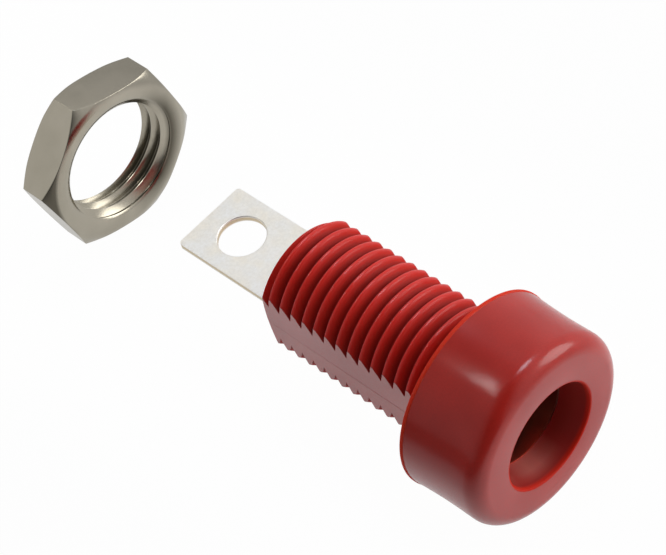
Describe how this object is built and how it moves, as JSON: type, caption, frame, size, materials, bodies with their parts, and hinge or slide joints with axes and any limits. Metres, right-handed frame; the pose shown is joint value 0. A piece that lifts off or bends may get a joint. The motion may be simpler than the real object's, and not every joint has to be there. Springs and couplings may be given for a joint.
{
  "type": "banana socket",
  "caption": "Insulated panel socket for a banana plug: round moulded head with plug recess, threaded shank with flats, flat solder lug and a hexagon nut.",
  "frame": {"origin": "on the socket's axis, in the rear face of the head that seats on the panel", "axes": "-Y out of the mouth, the way the plug leaves; +Y along the shank towards the solder lug; +Z square to the lug's flat side; the two flats of the shank face +X and -X"},
  "size_m": [0.0118, 0.036, 0.0118],
  "materials": {
    "nylon": "glossy moulded red nylon, slightly translucent at thin edges",
    "contact_plating": "pale silver plating over brass, with brass showing on the cut edges",
    "nut_plating": "warm grey nickel plating over brass, satin"
  },
  "bodies": {
    "socket": {"body": "nylon", "contact": "contact_plating"},
    "nut": {"nut": "nut_plating"}
  },
  "joints": [
    {"name": "nut_travel", "type": "slide", "parent": "socket", "child": "nut", "axis": [0, -1, 0], "range_m": [0, 0.0272]}
  ]
}
